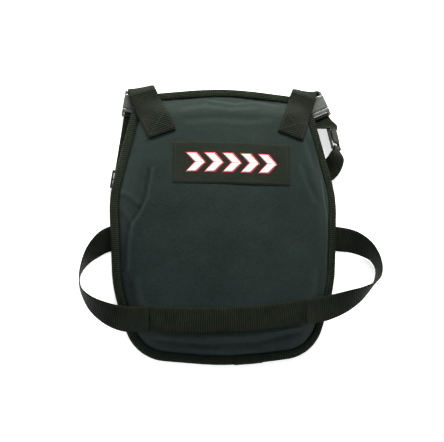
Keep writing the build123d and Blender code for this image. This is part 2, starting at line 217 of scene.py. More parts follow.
def thick_sheet(name, rows, thick, centred=True):
    """Closed sheet of even thickness through a grid of points, UVs in metres across and along."""
    rows = np.asarray(rows, float)
    n_along, n_across = rows.shape[:2]
    normal = grid_normals(rows)
    taper = np.ones(n_across)
    taper[0] = taper[-1] = 0.45
    low, high = (-thick / 2, thick / 2) if centred else (0.0, thick)
    middle = (low + high) / 2
    top = rows + normal * (middle + (high - middle) * taper)[None, :, None]
    bottom = rows + normal * (middle + (low - middle) * taper)[None, :, None]
    u = np.r_[0, np.cumsum(np.linalg.norm(np.diff(rows, axis=1), axis=2).mean(0))]
    v = np.r_[0, np.cumsum(np.linalg.norm(np.diff(rows, axis=0), axis=2).mean(1))]
    uu, vv = np.meshgrid(u, v)
    count = n_along * n_across
    verts = np.concatenate([top.reshape(-1, 3), bottom.reshape(-1, 3)])
    uv = np.concatenate([np.stack([uu.ravel(), vv.ravel()], 1)] * 2)
    faces = []
    for i in range(n_along - 1):
        for j in range(n_across - 1):
            a = i * n_across + j
            b, c, d = a + 1, a + n_across + 1, a + n_across
            faces.append((a, b, c, d))
            faces.append((a + count, d + count, c + count, b + count))
    for i in range(n_along - 1):
        for j in (0, n_across - 1):
            a, d = i * n_across + j, (i + 1) * n_across + j
            faces.append((a, d, d + count, a + count) if j == 0 else (d, a, a + count, d + count))
    for j in range(n_across - 1):
        for i in (0, n_along - 1):
            a, b = i * n_across + j, i * n_across + j + 1
            faces.append((b, a, a + count, b + count) if i == 0 else (a, b, b + count, a + count))
    return mesh_object(name, verts, faces, uv)


def spline(points, count):
    """Smooth curve through points, uniform Catmull-Rom, evenly sampled."""
    p = np.asarray(points, float)
    p = np.vstack([2 * p[0] - p[1], p, 2 * p[-1] - p[-2]])
    out = []
    for i in range(1, len(p) - 2):
        a, b, c, d = p[i - 1:i + 3]
        for k in range(16):
            t = k / 16
            out.append(0.5 * (2 * b + (c - a) * t + (2 * a - 5 * b + 4 * c - d) * t * t
                              + (3 * b - a - 3 * c + d) * t ** 3))
    out.append(p[-2])
    out = np.array(out)
    step = np.r_[0, np.cumsum(np.linalg.norm(np.diff(out[:, :3], axis=0), axis=1))]
    s = np.linspace(0, step[-1], count)
    return np.stack([np.interp(s, step, out[:, k]) for k in range(out.shape[1])], 1)


def ribbon_rows(stations, count, across=11):
    """Rows of points of a webbing ribbon from (centre, width direction, width) stations."""
    data = []
    for centre, direction, width in stations:
        w = np.array(direction, float)
        w /= np.linalg.norm(w)
        data.append([*centre, *w, width])
    data = spline(data, count)
    rows = []
    for row in data:
        w = row[3:6] / np.linalg.norm(row[3:6])
        rows.append([row[:3] + w * row[6] * (k / (across - 1) - 0.5) for k in range(across)])
    return np.array(rows)


def clear_pad(rows, gap):
    """Lifts the points over the pad so that they lie on its cover and tape."""
    x, y = rows[..., 0], rows[..., 1]
    d = inset(x, y)
    t = np.maximum(cover_t(x, y, False), np.where(d < TAPE_REACH + 1, 9.4, 0))
    fade = smooth((d + 5) / 5)
    floor_z = height(x, y, t) + gap
    rows = rows.copy()
    rows[..., 2] = np.where(d > -5, np.maximum(rows[..., 2], floor_z * fade + rows[..., 2] * (1 - fade)),
                            rows[..., 2])
    return rows


def tube(name, points, radius, closed=False, sides=8, flat=1.0):
    """Round or flattened tube through points; flat squeezes it along Z."""
    p = np.asarray(points, float)
    n = len(p)
    tangent = np.roll(p, -1, 0) - np.roll(p, 1, 0) if closed else np.gradient(p, axis=0)
    tangent /= np.linalg.norm(tangent, axis=1, keepdims=True)
    up = np.array([0, 0, 1.0])
    side = np.cross(tangent, up)
    side /= np.maximum(np.linalg.norm(side, axis=1, keepdims=True), 1e-9)
    out = np.cross(side, tangent)
    verts, uv, faces = [], [], []
    along = np.r_[0, np.cumsum(np.linalg.norm(np.diff(p, axis=0), axis=1))]
    for i in range(n):
        for k in range(sides):
            a = 2 * pi * k / sides
            verts.append(p[i] + side[i] * cos(a) * radius + out[i] * sin(a) * radius * flat)
            uv.append((k * radius, along[i]))
    last = n if closed else n - 1
    for i in range(last):
        for k in range(sides):
            a, b = i * sides + k, i * sides + (k + 1) % sides
            c, d = ((i + 1) % n) * sides + (k + 1) % sides, ((i + 1) % n) * sides + k
            faces.append((a, b, c, d))
    if not closed:
        faces.append(tuple(reversed(range(sides))))
        faces.append(tuple(range((n - 1) * sides, n * sides)))
    return mesh_object(name, verts, faces, uv)


def stitches(name, paths, pitch, length, radius, gap=0.0):
    """Rows of short thread stitches along 3-D paths, each a small spindle sunk a little in the cloth."""
    verts, faces, uv = [], [], []
    for path in paths:
        p = np.asarray(path, float)
        run = np.r_[0, np.cumsum(np.linalg.norm(np.diff(p, axis=0), axis=1))]
        count = max(int(run[-1] / pitch), 1)
        for k in range(count):
            s = (k + 0.5) * run[-1] / count
            ends = [np.array([np.interp(s + e * length / 2, run, p[:, c]) for c in range(3)]) for e in (-1, 0, 1)]
            t = ends[2] - ends[0]
            size = np.linalg.norm(t)
            if size < 1e-6:
                continue
            t /= size
            side = np.cross(t, [0, 0, 1.0])
            side /= max(np.linalg.norm(side), 1e-9)
            up = np.cross(side, t)
            base = len(verts)
            for centre, r, lift in ((ends[0], 0.35, -0.25), (ends[1] - t * length * 0.2, 1.0, gap),
                                    (ends[1] + t * length * 0.2, 1.0, gap), (ends[2], 0.35, -0.25)):
                for a in range(6):
                    ang = 2 * pi * a / 6
                    verts.append(centre + up * lift + (side * cos(ang) + up * sin(ang)) * radius * r)
                    uv.append((a * radius, s))
            for ring in range(3):
                for a in range(6):
                    b = (a + 1) % 6
                    lo, hi = base + ring * 6, base + (ring + 1) * 6
                    faces.append((lo + a, lo + b, hi + b, hi + a))
            faces.append(tuple(base + a for a in reversed(range(6))))
            faces.append(tuple(base + 18 + a for a in range(6)))
    return mesh_object(name, verts, faces, uv)


# ------------------------------------------------------------------ materials
class Nodes:
    """Short helper for building a node material."""

    def __init__(self, name):
        self.material = bpy.data.materials.new(name)
        self.material.use_nodes = True
        self.tree = self.material.node_tree
        self.shader = self.tree.nodes["Principled BSDF"]

    def add(self, kind, **values):
        node = self.tree.nodes.new(kind)
        for key, value in values.items():
            if hasattr(node, key):
                setattr(node, key, value)
            else:
                node.inputs[key.replace("_", " ")].default_value = value
        return node

    def link(self, a, b):
        self.tree.links.new(a, b)

    def set(self, **values):
        for key, value in values.items():
            self.shader.inputs[key.replace("_", " ")].default_value = value

    def math(self, operation, a, b=0.5):
        node = self.add("ShaderNodeMath", operation=operation)
        for socket, value in zip(node.inputs, (a, b)):
            if isinstance(value, (int, float)):
                socket.default_value = value
            else:
                self.link(value, socket)
        return node.outputs[0]

    def noise(self, vector, scale, detail=3.0, rough=0.55):
        node = self.add("ShaderNodeTexNoise")
        node.inputs["Scale"].default_value = scale
        node.inputs["Detail"].default_value = detail
        node.inputs["Roughness"].default_value = rough
        self.link(vector, node.inputs["Vector"])
        return node.outputs["Fac"]

    def ramp(self, value, stops):
        node = self.add("ShaderNodeValToRGB")
        while len(node.color_ramp.elements) < len(stops):
            node.color_ramp.elements.new(0.5)
        for element, (place, colour) in zip(node.color_ramp.elements, stops):
            element.position = place
            element.color = (*colour, 1)
        self.link(value, node.inputs[0])
        return node.outputs[0]

    def bump(self, value, strength, distance, before=None):
        node = self.add("ShaderNodeBump")
        node.inputs["Strength"].default_value = strength
        node.inputs["Distance"].default_value = distance
        self.link(value, node.inputs["Height"])
        if before is not None:
            self.link(before, node.inputs["Normal"])
        return node.outputs[0]

    def object_coords(self):
        return self.add("ShaderNodeTexCoord").outputs["Object"]

    def uv_coords(self):
        return self.add("ShaderNodeTexCoord").outputs["UV"]

    def split(self, vector):
        node = self.add("ShaderNodeSeparateXYZ")
        self.link(vector, node.inputs[0])
        return node.outputs


def weave_material(name, dark, light, pitch, sheen, sheen_tint, rough=0.78, mottle=9.0, relief=0.35, spec=0.35,
                   painted_shading=0.0):
    """Plain-woven cloth: over-and-under threads, slow colour drift and a soft sheen, with a little painted
    highlight on the thread crowns and, where asked, painted highlight and painted shade from a mesh attribute.
    """
    m = Nodes(name)
    where = m.object_coords()
    x, y, z = m.split(where)
    k = 2 * pi / pitch
    warp = m.math("SINE", m.math("MULTIPLY", m.math("ADD", x, m.math("MULTIPLY", z, 0.35)), k))
    weft = m.math("SINE", m.math("MULTIPLY", m.math("ADD", y, m.math("MULTIPLY", z, 0.22)), k))
    weave = m.math("MULTIPLY_ADD", m.math("MULTIPLY", warp, weft), 0.5)
    slow = m.noise(where, mottle, 4.0)
    fleck = m.noise(where, 420.0, 2.0)
    mix = m.math("ADD", m.math("MULTIPLY", slow, 0.45), m.math("MULTIPLY", fleck, 0.50))
    # the weave's relief also sets the colour a little: painted highlight on the thread crowns, painted shade
    # between them
    mix = m.math("ADD", mix, m.math("MULTIPLY", weave, 0.12))
    # painted highlight and painted shade from the mesh attribute, added to the base colour
    if painted_shading:
        highlight_and_shade = m.add("ShaderNodeAttribute", attribute_name="painted_shading").outputs["Fac"]
        mix = m.math("ADD", mix, m.math("MULTIPLY", highlight_and_shade, painted_shading))
    m.link(m.ramp(mix, [(0.25, dark), (0.72, light)]), m.shader.inputs["Base Color"])
    rough_mix = m.math("ADD", m.math("MULTIPLY", fleck, 0.16), rough - 0.08)
    m.link(rough_mix, m.shader.inputs["Roughness"])
    first = m.bump(weave, relief, 0.0004)
    second = m.bump(m.noise(where, 26.0, 3.0), 0.28, 0.003, first)
    m.link(second, m.shader.inputs["Normal"])
    m.set(Sheen_Weight=sheen, Sheen_Roughness=0.42, Sheen_Tint=(*sheen_tint, 1), Specular_IOR_Level=spec)
    return m.material


def webbing_material(name, dark, light, pitch=1.9, sheen=0.25, tint=(0.7, 0.75, 0.7)):
    """Narrow woven webbing: ribs across, fine chevron columns, painted lighter on the rib crowns and darker in the
    grooves (painted highlight and painted shade).
    """
    m = Nodes(name)
    uv = m.uv_coords()
    u, v, _ = m.split(uv)
    column = m.math("PINGPONG", u, 0.0032)
    phase = m.math("ADD", v, m.math("MULTIPLY", column, 0.14))
    ribs = m.math("SINE", m.math("MULTIPLY", phase, 2 * pi / (pitch * MM)))
    cords = m.math("SINE", m.math("MULTIPLY", u, 2 * pi / 0.0016))
    relief = m.math("ADD", m.math("MULTIPLY", ribs, 0.34), m.math("MULTIPLY", cords, 0.16))
    relief = m.math("ADD", relief, 0.5)
    where = m.object_coords()
    slow = m.noise(where, 34.0, 3.0)
    fine = m.noise(where, 900.0, 2.0)
    # the rib relief also sets the colour: painted highlight on the crowns, painted shade in the grooves
    mix = m.math("ADD", m.math("MULTIPLY", relief, 0.45), m.math("MULTIPLY", slow, 0.35))
    mix = m.math("ADD", mix, m.math("MULTIPLY", fine, 0.2))
    m.link(m.ramp(mix, [(0.32, dark), (0.70, light)]), m.shader.inputs["Base Color"])
    m.link(m.math("ADD", m.math("MULTIPLY", fine, 0.2), 0.50), m.shader.inputs["Roughness"])
    m.link(m.bump(relief, 1.0, 0.0011), m.shader.inputs["Normal"])
    m.set(Sheen_Weight=sheen, Sheen_Roughness=0.5, Sheen_Tint=(*tint, 1), Specular_IOR_Level=0.09)
    return m.material


def plastic_material(name, base, rough):
    """Moulded plastic: fine texture, faint flow marks, scuffed lighter patches."""
    m = Nodes(name)
    where = m.object_coords()
    rub = m.noise(where, 60.0, 4.0)
    grain = m.noise(where, 1400.0, 2.0)
    lighter = tuple(c * 1.9 + 0.002 for c in base)
    m.link(m.ramp(rub, [(0.35, base), (0.8, lighter)]), m.shader.inputs["Base Color"])
    m.link(m.math("ADD", m.math("MULTIPLY", rub, 0.22), rough - 0.08), m.shader.inputs["Roughness"])
    first = m.bump(grain, 0.12, 0.0002)
    m.link(m.bump(rub, 0.05, 0.001, first), m.shader.inputs["Normal"])
    m.set(Specular_IOR_Level=0.6, Coat_Weight=0.6, Coat_Roughness=0.12)
    return m.material


def thread_material(name, dark, light, sheen=0.3):
    m = Nodes(name)
    where = m.object_coords()
    twist = m.noise(where, 1500.0, 2.0)
    slow = m.noise(where, 70.0, 2.0)
    mix = m.math("ADD", m.math("MULTIPLY", twist, 0.6), m.math("MULTIPLY", slow, 0.4))
    m.link(m.ramp(mix, [(0.3, dark), (0.7, light)]), m.shader.inputs["Base Color"])
    m.link(m.math("ADD", m.math("MULTIPLY", twist, 0.25), 0.45), m.shader.inputs["Roughness"])
    m.link(m.bump(twist, 0.5, 0.0004), m.shader.inputs["Normal"])
    m.set(Sheen_Weight=sheen, Sheen_Roughness=0.35, Specular_IOR_Level=0.35)
    return m.material


MAT = {
    # the cover's colour also takes the painted highlight and painted shade of its folds and tape crevice
    "cover": weave_material("cover_nylon", (0.0002, 0.0030, 0.0038), (0.0150, 0.0255, 0.0245), 0.0011, 0.05,
                            (0.55, 0.80, 0.80), 0.72, spec=0.14, painted_shading=0.17),
    "lining": weave_material("lining_knit", (0.012, 0.012, 0.013), (0.030, 0.031, 0.032), 0.0022, 0.2,
                             (0.7, 0.72, 0.75), 0.85, 14.0, 0.6, 0.2),
    "binding": webbing_material("binding_tape", (0.0004, 0.0013, 0.0003), (0.0150, 0.0220, 0.0125), 3.0, 0.0),
    "webbing": webbing_material("webbing_nylon", (0.0002, 0.0010, 0.0003), (0.0140, 0.0192, 0.0118), 3.3, 0.0),
    "patch": weave_material("patch_twill", (0.0020, 0.0034, 0.0026), (0.0150, 0.0190, 0.0145), 0.0008, 0.05,
                            (0.7, 0.75, 0.7), 0.8, 20.0, 0.3, 0.14),
    "thread": thread_material("thread_black", (0.003, 0.003, 0.003), (0.012, 0.013, 0.012), 0.05),
    "white": thread_material("embroidery_white", (0.60, 0.58, 0.58), (0.88, 0.86, 0.86)),
    "red": thread_material("embroidery_red", (0.42, 0.015, 0.03), (0.70, 0.04, 0.06)),
    # the buckles are the same black acetal as the locks; their lighter grey base is painted reflection of the
    # bright surroundings
    "buckle": plastic_material("buckle_acetal_painted_reflection", (0.070, 0.073, 0.073), 0.22),
    "lock": plastic_material("lock_acetal", (0.010, 0.010, 0.011), 0.22),
}


def finish_piece(obj, material, body="pad", nodes=()):
    obj.data.materials.append(MAT[material])
    if nodes:
        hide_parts(*nodes)
    if body:
        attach(obj, body)
    return obj


# ------------------------------------------------------------------ padded body and lining
def pad_body():
    """Closed padded body: quilted face, rim and underside, as rings from the rim to the middle."""
    rings = np.r_[np.linspace(0, 60, 41), np.linspace(62, 172, 40)]
    middle = np.array([0.0, 5.0])
    step = RIM[::2]
    inward = RIM_IN[::2]
    far = 60.0
    rows = []
    for r in rings:
        if r <= far:
            near = step + inward * min(r, 24.0)
            pull = max(r - 24.0, 0.0) / (172.0 - 24.0)
            rows.append(near + (middle - near) * pull)
        else:
            near = step + inward * 24.0
            pull = (r - 24.0) / (172.0 - 24.0)
            rows.append(near + (middle - near) * min(pull, 0.995))
    plan = np.array(rows)
    x, y = plan[..., 0], plan[..., 1]
    top = np.stack([x, y, height(x, y, cover_t(x, y))], 2)
    under = np.stack([x, y, height(x, y, np.full(x.shape, 0.9))], 2)
    n_ring, n = x.shape
    verts = np.concatenate([top.reshape(-1, 3), under.reshape(-1, 3)])
    count = n_ring * n
    faces = []
    for i in range(n_ring - 1):
        for j in range(n):
            a, b = i * n + j, i * n + (j + 1) % n
            c, d = b + n, a + n
            faces.append((a, b, c, d))
            faces.append((a + count, d + count, c + count, b + count))
    for j in range(n):
        a, b = j, (j + 1) % n
        faces.append((b, a, a + count, b + count))
    faces.append(tuple((n_ring - 1) * n + j for j in range(n)))
    faces.append(tuple(count + (n_ring - 1) * n + j for j in reversed(range(n))))
    obj = mesh_object("pad_cover", verts, faces)
    d = inset(x, y)
    # painted highlight on the fold ridges, painted shade in the fold valleys and a painted dark line in the crevice
    # beside the tape, stored per vertex for the cover's colour
    painted_shading = fold_relief(x, y)[1] * smooth((d - 9) / 8) - 1.2 * np.exp(-((d - CREVICE) / 1.8) ** 2)
    layer = obj.data.attributes.new("painted_shading", "FLOAT", "POINT")
    layer.data.foreach_set("value", np.r_[painted_shading.ravel(), np.zeros(count)])
    return obj


pad = pad_body()
finish_piece(pad, "cover", "pad", ("front_cover", "impact_foam", "base_foam", "stiffener_sheet"))


def lining():
    """Knitted lining over the hollow back, with a slight slack."""
    plan = np.array([RIM + RIM_IN * r for r in (0.5, 6, 12, 18, 24)])
    middle = np.array([0.0, 5.0])
    pulls = np.linspace(0.06, 0.995, 30)
    plan = np.concatenate([plan, [plan[-1] + (middle - plan[-1]) * k for k in pulls]])[:, ::3]
    x, y = plan[..., 0], plan[..., 1]
    slack = 0.45 * smooth((inset(x, y) - 8) / 20) * (field(x, y, 44, 9) + 0.5 * field(x, y, 17, 10))
    z = height(x, y, 0.45 - np.abs(slack))
    n_ring, n = x.shape
    verts = np.concatenate([np.stack([x, y, z], 2).reshape(-1, 3), np.stack([x, y, z + 0.4], 2).reshape(-1, 3)])
    count = n_ring * n
    faces = []
    for i in range(n_ring - 1):
        for j in range(n):
            a, b = i * n + j, i * n + (j + 1) % n
            c, d = b + n, a + n
            faces.append((a, d, c, b))
            faces.append((a + count, b + count, c + count, d + count))
    for j in range(n):
        a, b = j, (j + 1) % n
        faces.append((a, b, b + count, a + count))
    faces.append(tuple((n_ring - 1) * n + j for j in reversed(range(n))))
    faces.append(tuple(count + (n_ring - 1) * n + j for j in range(n)))
    return mesh_object("back_lining_cloth", verts, faces)


finish_piece(lining(), "lining", "pad", ("back_lining",))


# ------------------------------------------------------------------ binding tape
def binding(name, start, stop, grow, closed):
    """U-shaped tape round the rim between two stations of the outline."""
    profile = [(11.0, 8.05), (10.8, 8.9), (6, 9.25), (1.5, 9.0), (-0.6, 8.2), (-1.35, 6.2), (-1.5, 4.0),
               (-1.35, 1.6), (-0.6, -0.3), (1.5, -1.0), (6, -1.15), (10.8, -0.95), (11.0, -0.1)]
    index = np.arange(start, stop) % len(RIM)
    p, inward = RIM[index], RIM_IN[index]
    s = index * RIM_LENGTH / len(RIM)
    pucker = np.array([noise.noise(Vector((a / 7.0, 0.0, 3.3))) for a in s])
    slow = np.array([noise.noise(Vector((a / 38.0, 2.0, 1.3))) for a in s])
    verts, uv, faces = [], [], []
    n, m = len(index), len(profile)
    for i in range(n):
        for k, (reach, t) in enumerate(profile):
            out = grow + 0.16 * pucker[i] + 0.25 * slow[i]
            away = (reach - 5, t - 4)
            if k in (0, m - 1):
                out = 0.0
            q = p[i] + inward[i] * (reach - (out if away[0] < 0 else 0) + (grow * 2 if reach > 10 else 0)
                                    + 0.35 * slow[i] * (reach > 10))
            lift = out * (1 if t > 4 else -1) * (0.25 if abs(t - 4) < 3 else 1.0)
            verts.append((q[0], q[1], float(height(q[0], q[1], t + lift))))
            uv.append((k * 3.0, s[i] if not closed or i else 0))
    for i in range(n if closed else n - 1):
        for k in range(m - 1):
            a, b = i * m + k, i * m + k + 1
            c, d = ((i + 1) % n) * m + k + 1, ((i + 1) % n) * m + k
            faces.append((a, d, c, b))
    obj = mesh_object(name, verts, faces, uv)
    solid = obj.modifiers.new("thickness", "SOLIDIFY")
    solid.thickness = 0.0007
    solid.offset = -1
    return obj


half_way = len(RIM) // 2
finish_piece(binding("binding_tape", 0, len(RIM), 0.0, True), "binding", "pad", ("edge_binding",))
finish_piece(binding("binding_overlap", half_way - 30, half_way - 6, 0.75, False), "binding")
seam = RIM + RIM_IN * 8.8
seam_path = np.stack([seam[:, 0], seam[:, 1], height(seam[:, 0], seam[:, 1], 9.25)], 1)
finish_piece(stitches("binding_stitches", [np.vstack([seam_path, seam_path[:1]])], 3.2, 2.5, 0.30),
             "thread")

# ------------------------------------------------------------------ badge
BADGE_AT = np.array([6.0, 89.0])
BADGE_TURN = radians(-1)
BADGE = (180.0, 65.0)


def badge_point(u, v):
    c, s = cos(BADGE_TURN), sin(BADGE_TURN)
    return BADGE_AT[0] + u * c - v * s, BADGE_AT[1] + u * s + v * c


def badge_sheet(name, corners, lift, thick, across, along):
    """Sheet on the badge between four corners, bottom left, bottom right, top right, top left."""
    bl, br, tr, tl = (np.array(c, float) for c in corners)
    rows = []
    for i in range(along):
        b = i / (along - 1)
        row = []
        for j in range(across):
            a = j / (across - 1)
            q = (bl * (1 - a) + br * a) * (1 - b) + (tl * (1 - a) + tr * a) * b
            x, y = badge_point(*q)
            row.append((x, y, float(height(x, y, FACE_T + lift))))
        rows.append(row)
    return thick_sheet(name, rows, thick, centred=False)


def badge_ring(width, tall, corner, lift, count=240):
    """Closed path of a rounded rectangle on the badge."""
    pts = []
    for cx, cy, start in ((width / 2 - corner, tall / 2 - corner, 0), (-width / 2 + corner, tall / 2 - corner, 90),
                          (-width / 2 + corner, -tall / 2 + corner, 180),
                          (width / 2 - corner, -tall / 2 + corner, 270)):
        for k in range(9):
            a = radians(start + 90 * k / 8)
            pts.append((cx + corner * cos(a), cy + corner * sin(a)))
    pts = np.array(pts + [pts[0]])
    run = np.r_[0, np.cumsum(np.linalg.norm(np.diff(pts, axis=0), axis=1))]
    s = np.linspace(0, run[-1], count, endpoint=False)
    uv = np.stack([np.interp(s, run, pts[:, k]) for k in (0, 1)], 1)
    x, y = badge_point(uv[:, 0], uv[:, 1])
    return np.stack([x, y, height(x, y, FACE_T + lift)], 1)


w, h = BADGE[0] / 2 - 1.2, BADGE[1] / 2 - 1.2
patch = badge_sheet("badge_patch_cloth", [(-w, -h), (w, -h), (w, h), (-w, h)], 0.1, 0.6, 61, 23)
finish_piece(patch, "patch", "pad", ("badge_patch",))
for k, shrink in enumerate((3.4, 11.0)):
    ring = badge_ring(BADGE[0] - shrink, BADGE[1] - shrink, 1.5, 0.72, 320)
    finish_piece(stitches("badge_stitches_%d" % k, [np.vstack([ring, ring[:1]])], 2.9, 2.3, 0.26), "thread")

RISE = 13.5
THICK = 13.0


def chevron(name, x, grow, lift, thick):
    """Two embroidered arms of one chevron."""
    left, right = x - 13 - grow, x - 13 + THICK + grow
    tip_l, tip_r = x - grow, x + THICK + grow
    rise = RISE + grow * 0.7
    arms = []
    for side in (-1, 1):
        corners = [(left, -rise), (right, -rise), (tip_r, 0), (tip_l, 0)]
        if side > 0:
            corners = [(tip_l, 0), (tip_r, 0), (right, rise), (left, rise)]
        arms.append(badge_sheet(name + ("_low" if side < 0 else "_high"), corners, lift, thick, 6, 8))
    return arms


emblem_nodes = ("badge_emblem",)
for k in range(5):
    x = (k - 2) * 27.0 - 1.0
    for piece in chevron("badge_edge_%d" % k, x, 2.2, 0.68, 0.35):
        finish_piece(piece, "red", "pad", emblem_nodes)
    for piece in chevron("badge_mark_%d" % k, x, 0.0, 1.0, 0.42):
        finish_piece(piece, "white", "pad", emblem_nodes)
# ------------------------------------------------------------------ waist belt
BAND_LEFT = np.array([-118.0, -138.0])
BAND_MID = np.array([0.0, -142.0])
BAND_RIGHT = np.array([118.0, -130.0])


def circle_through(a, b, c):
    m = 2 * np.array([b - a, c - a])
    rhs = np.array([b @ b - a @ a, c @ c - a @ a])
    centre = np.linalg.solve(m, rhs)
    return centre, float(np.linalg.norm(a - centre))


BAND_CENTRE, BAND_R = circle_through(BAND_LEFT, BAND_MID, BAND_RIGHT)


def band_point(x, offset):
    """Point of the front band at a signed distance from its centre line, positive towards +Y."""
    angle = np.arcsin((x - BAND_CENTRE[0]) / BAND_R)
    r = BAND_R - offset
    return BAND_CENTRE[0] + r * np.sin(angle), BAND_CENTRE[1] - r * np.cos(angle)


def band_rows(x0, x1, count, lift, width=WEB, across=11):
    rows = []
    for x in np.linspace(x0, x1, count):
        row = []
        for k in range(across):
            px, py = band_point(x, width * (0.5 - k / (across - 1)))
            row.append((px, py, float(cover_z(np.array([px]), np.array([py]), lift)[0])))
        rows.append(row)
    return np.array(rows)


band = thick_sheet("belt_band", band_rows(-124, 150, 70, 0.95), WEB_T)
finish_piece(band, "webbing", "pad", ("belt_front",))

LEFT_LOOP = [
    ((-118, -138.2, 42), (0, -1, -0.18), WEB),
    ((-136, -138.5, 29), (0, -1, -0.22), WEB),
    ((-156, -136.5, 22.5), (-0.05, -0.95, -0.30), WEB),
    ((-178, -129, 20), (-0.10, -0.80, -0.58), WEB),
    ((-200, -115, 19.5), (-0.10, -0.50, -0.87), WEB),
    ((-214, -97, 19.8), (0, -0.20, -0.98), WEB),
    ((-218, -78, 19.8), (0, 0, -1), WEB),
    ((-214, -60, 19.4), (0.10, -0.15, -0.98), WEB),
    ((-204, -42, 17.2), (0.20, -0.45, -0.87), WEB),
    ((-190, -27, 12), (0.15, -0.80, -0.56), WEB),
    ((-176, -18, 6.4), (0.05, -0.95, -0.28), WEB),
    ((-160, -15, 2.4), (0, -1, -0.06), WEB),
    ((-140, -15, 0.9), (0, -1, 0), WEB),
    ((-60, -15, 0.85), (0, -1, 0), WEB),
    ((14, -15, 0.85), (0, -1, 0), WEB),
    ((23, -15, 2.6), (0, -1, 0), WEB),
    ((30.6, -15, 6.2), (0, -1, 0), WEB),
]
RIGHT_LOOP = [
    ((118, -130.2, 42), (0.06, -1, -0.16), WEB),
    ((137, -127.5, 30), (0.08, -1, -0.20), WEB),
    ((160, -122.5, 24), (0.10, -0.95, -0.30), WEB),
    ((186, -114, 21), (0.15, -0.80, -0.58), WEB),
    ((212, -102, 19.8), (0.15, -0.50, -0.87), WEB),
    ((232, -86, 19.9), (0, -0.20, -0.98), WEB),
    ((239, -67, 19.8), (0, 0, -1), WEB),
    ((234, -48, 19.4), (-0.10, -0.15, -0.98), WEB),
    ((221, -33, 16.8), (-0.20, -0.50, -0.84), WEB),
    ((203, -22, 12), (-0.15, -0.80, -0.56), WEB),
    ((183, -17, 6.4), (-0.05, -0.95, -0.28), WEB),
    ((163, -15, 2.4), (0, -1, -0.06), WEB),
    ((146, -15, 0.9), (0, -1, 0), WEB),
    ((100, -15, 0.85), (0, -1, 0), WEB),
    ((88, -15, 0.9), (0, -1, 0), WEB),
    ((81, -15, 2.8), (0, -1, 0), WEB),
    ((74.0, -15, 6.2), (0, -1, 0), WEB),
]


def eye_rows(frame_matrix, x, from_side, across=11, turns=30):
    """Rows of a webbing eye round the bar at x of a local frame, starting on its far side."""
    r = 2.1 + WEB_T / 2
    rows = []
    for k in range(turns + 1):
        a = 2 * pi * k / turns
        centre = (x + from_side * r * cos(a), 0.0, r * sin(a))
        row = []
        for j in range(across):
            q = frame_matrix @ Vector((centre[0], WEB * (j / (across - 1) - 0.5), centre[2]))
            row.append((q.x, q.y, q.z))
        rows.append(row)
    return np.array(rows)


def local_frame(origin, x_dir, z_dir):
    x = Vector(x_dir).normalized()
    z = Vector(z_dir).normalized()
    y = z.cross(x)
    m = Matrix((x, y, z)).transposed().to_4x4()
    m.translation = Vector(origin)
    return m


BUCKLE_Z = 7.5
SOCKET_BAR = -26.0
PLUG_BAR = 10.5
WAIST = local_frame((60, -15, BUCKLE_Z), (1, 0, 0), (0, 0, 1))


def loop_rows(stations, count):
    rows = ribbon_rows(stations, count)
    front = rows[..., 1].mean(1) < -100
    lifted = clear_pad(rows, 1.75)
    rows[front] = lifted[front]
    rows[..., 2] = np.maximum(rows[..., 2], 0.8)
    return rows


def side_belt(name, stations, count, nodes, bar_x, side):
    rows = loop_rows(stations, count)
    belt = thick_sheet(name, rows, WEB_T)
    ring = thick_sheet(name + "_eye", eye_rows(WAIST, bar_x, side), WEB_T)
    belt.data.materials.append(MAT["webbing"])
    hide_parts(nodes)
    finish_piece(ring, "webbing", "pad" if side < 0 else "waist_plug")
    return belt


left_belt = side_belt("belt_left_side", LEFT_LOOP, 150, "belt_left", SOCKET_BAR, -1)
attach(left_belt, "pad")
right_belt = side_belt("belt_right_side", RIGHT_LOOP, 140, "belt_right", PLUG_BAR, 1)
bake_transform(right_belt)

# seams across the belt where the side runs are sewn to the band
def band_seam(x, lift=2.75):
    rows = band_rows(x, x + 0.01, 2, lift, WEB - 4)
    return rows[0]


finish_piece(stitches("belt_seams", [band_seam(v) for v in (-121.5, -119, 121.5, 124, 147, 149)], 2.6, 2.2, 0.32),
             "thread")

# ------------------------------------------------------------------ tabs
TAB_T = 2 * WEB_T
LEFT_BAR = (-127.0, 207.0)
RIGHT_BAR = (137.0, 207.0)


def chain(side, bar_at, yaw):
    heading = Vector((side * sin(radians(yaw)), -cos(radians(yaw)), 0))
    mouth = Vector((bar_at[0], bar_at[1], BUCKLE_Z)) - heading * SOCKET_BAR
    return local_frame(mouth, heading, (0, 0, 1))


LEFT = chain(-1, LEFT_BAR, 9)
RIGHT = chain(1, RIGHT_BAR, 24)


